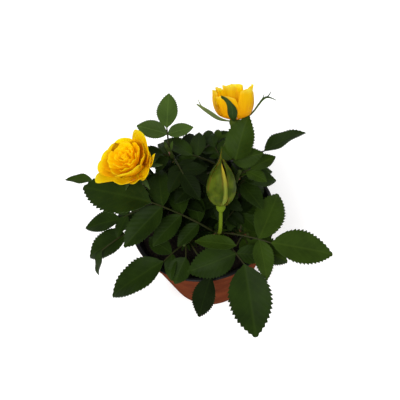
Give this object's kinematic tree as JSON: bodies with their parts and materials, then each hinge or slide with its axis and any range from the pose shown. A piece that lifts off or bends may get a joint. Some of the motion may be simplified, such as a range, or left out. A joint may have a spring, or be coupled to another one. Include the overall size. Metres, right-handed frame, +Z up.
{
  "type": "potted rose bush",
  "caption": "Small leafy rose bush with an open bloom, a half-open bloom and a bud, growing in a round tapered pot.",
  "frame": {"origin": "middle of the pot's flat underside", "axes": "+Z up, -Y the side that the picture is taken from, +X to the right as seen from there"},
  "size_m": [0.164, 0.1508, 0.1898],
  "materials": {
    "pot": "terracotta-coloured plastic, satin",
    "soil": "dark damp potting compost",
    "cane": "smooth green and brown young bark",
    "leaf": "dark green, semi-matte with a faint waxy sheen",
    "petal": "soft matte yellow",
    "bud": "yellow-green, semi-matte"
  },
  "bodies": {
    "root": {"pot": "pot", "soil": "soil", "cane_bud": "cane", "cane_left": "cane", "cane_back": "cane", "cane_back_left": "cane", "cane_right": "cane", "cane_front_right": "cane", "cane_front_left": "cane", "cane_rear": "cane", "cane_rear_left": "cane", "cane_rear_right": "cane", "leaves_bud": "leaf", "leaves_left": "leaf", "leaves_back": "leaf", "leaves_back_left": "leaf", "leaves_right": "leaf", "leaves_front_right": "leaf", "leaves_front_left": "leaf", "leaves_rear": "leaf", "leaves_rear_left": "leaf", "leaves_rear_right": "leaf", "open_rose": "petal", "half_open_rose": "petal", "rose_bud": "bud"}
  },
  "joints": []
}
